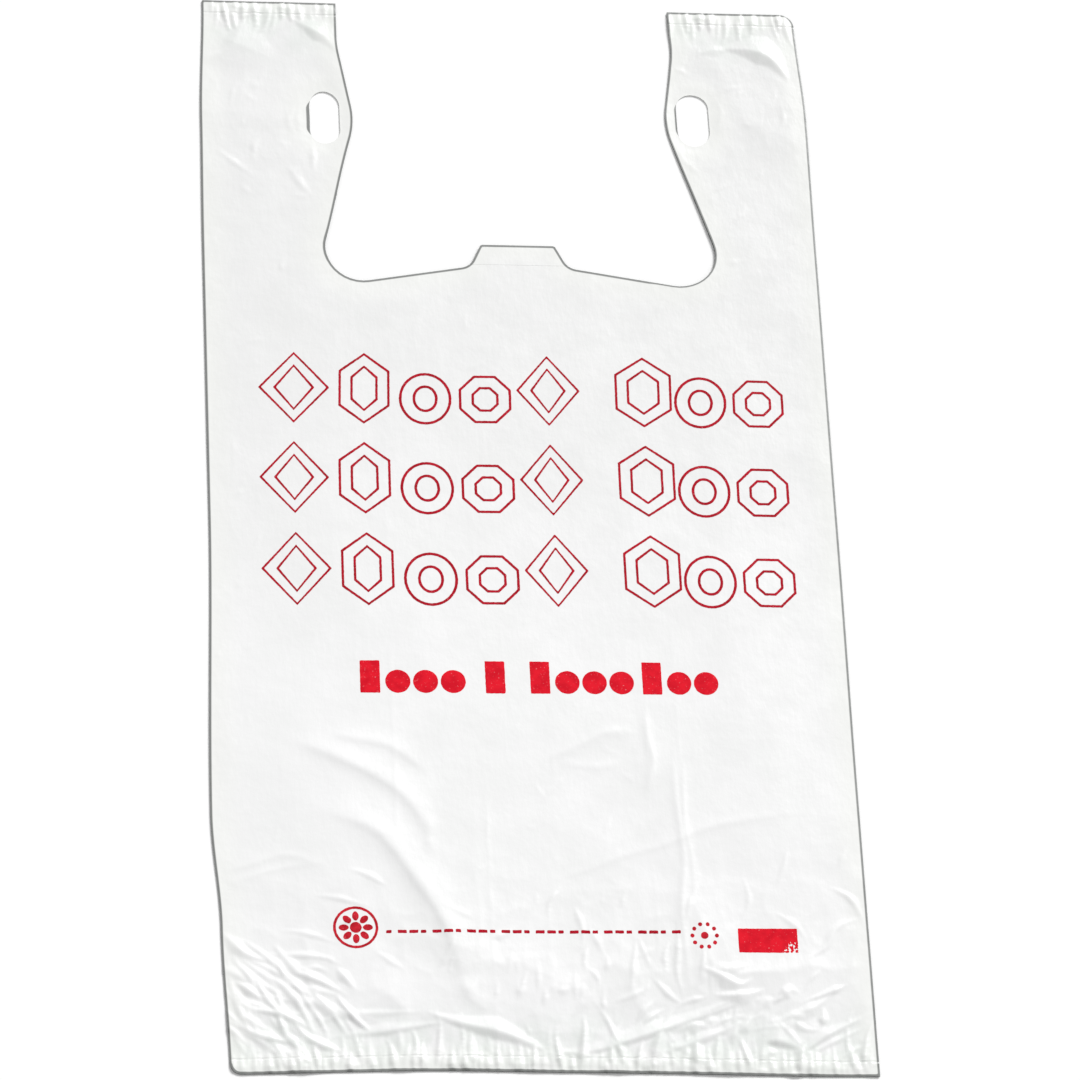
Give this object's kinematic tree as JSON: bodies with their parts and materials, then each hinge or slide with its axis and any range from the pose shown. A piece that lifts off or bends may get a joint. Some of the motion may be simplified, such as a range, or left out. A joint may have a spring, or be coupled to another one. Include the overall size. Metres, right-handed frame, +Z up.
{
  "type": "t-shirt carrier bag",
  "caption": "Flat white plastic film carrier bag with tucked side gussets, loop handles with hang slots, a tear-off tab and a red printed front.",
  "frame": {"origin": "centre of the flat bag's outline, on the surface that its back panel lies on", "axes": "+X across the bag to the right as its front is seen, +Y along the bag from the bottom weld to the handle tops, +Z up through the plies, out of the front panel"},
  "size_m": [0.292, 0.546, 0.0064],
  "materials": {
    "film_white": "thin translucent white polyethylene film, satin with soft creases",
    "film_inner": "the same film, tucked inside the bag",
    "weld": "heat-sealed film, puckered and clearer than the rest",
    "ink_red": "red flexographic ink with small pinholes"
  },
  "bodies": {
    "back": {"back_panel": "film_white", "bottom_seal": "weld", "bottom_skirt": "film_white"},
    "gussets": {"left_gusset_front_ply": "film_inner", "left_gusset_back_ply": "film_inner", "left_gusset_crease": "film_inner", "right_gusset_front_ply": "film_inner", "right_gusset_back_ply": "film_inner", "right_gusset_crease": "film_inner"},
    "front": {"front_panel": "film_white", "print_row_upper": "ink_red", "print_row_middle": "ink_red", "print_row_lower": "ink_red", "print_bar_row": "ink_red", "print_rosette": "ink_red", "print_dash_line": "ink_red", "print_dot_ring": "ink_red", "print_block": "ink_red"},
    "left_handle": {"left_handle_front_ply": "film_white", "left_handle_back_ply": "film_white", "left_handle_inner_plies": "film_inner", "left_handle_seal": "weld", "left_handle_skirt": "film_white"},
    "right_handle": {"right_handle_front_ply": "film_white", "right_handle_back_ply": "film_white", "right_handle_inner_plies": "film_inner", "right_handle_seal": "weld", "right_handle_skirt": "film_white"},
    "front_tab": {"front_tab": "film_white"},
    "back_tab": {"back_tab": "film_white"}
  },
  "joints": [
    {"name": "gusset_open", "type": "hinge", "parent": "back", "child": "gussets", "pos_m": [0, -0.2655, 0.0012], "axis": [1, 0, 0], "range_deg": [0, 6]},
    {"name": "front_open", "type": "hinge", "parent": "gussets", "child": "front", "pos_m": [0, -0.2655, 0.0012], "axis": [1, 0, 0], "range_deg": [0, 6]},
    {"name": "left_handle_fold", "type": "hinge", "parent": "gussets", "child": "left_handle", "pos_m": [0, 0.187, 0.0063], "axis": [1, 0, 0], "range_deg": [0, 160]},
    {"name": "right_handle_fold", "type": "hinge", "parent": "gussets", "child": "right_handle", "pos_m": [0, 0.187, 0.0063], "axis": [1, 0, 0], "range_deg": [0, 160]},
    {"name": "front_tab_fold", "type": "hinge", "parent": "front", "child": "front_tab", "pos_m": [0, 0.131, 0.0063], "axis": [1, 0, 0], "range_deg": [0, 150]},
    {"name": "back_tab_fold", "type": "hinge", "parent": "back", "child": "back_tab", "pos_m": [0, 0.131, 0.0003], "axis": [1, 0, 0], "range_deg": [0, 25]}
  ],
  "couplings": [
    {"joint": "front_open", "follows": "gusset_open", "ratio": 1}
  ]
}
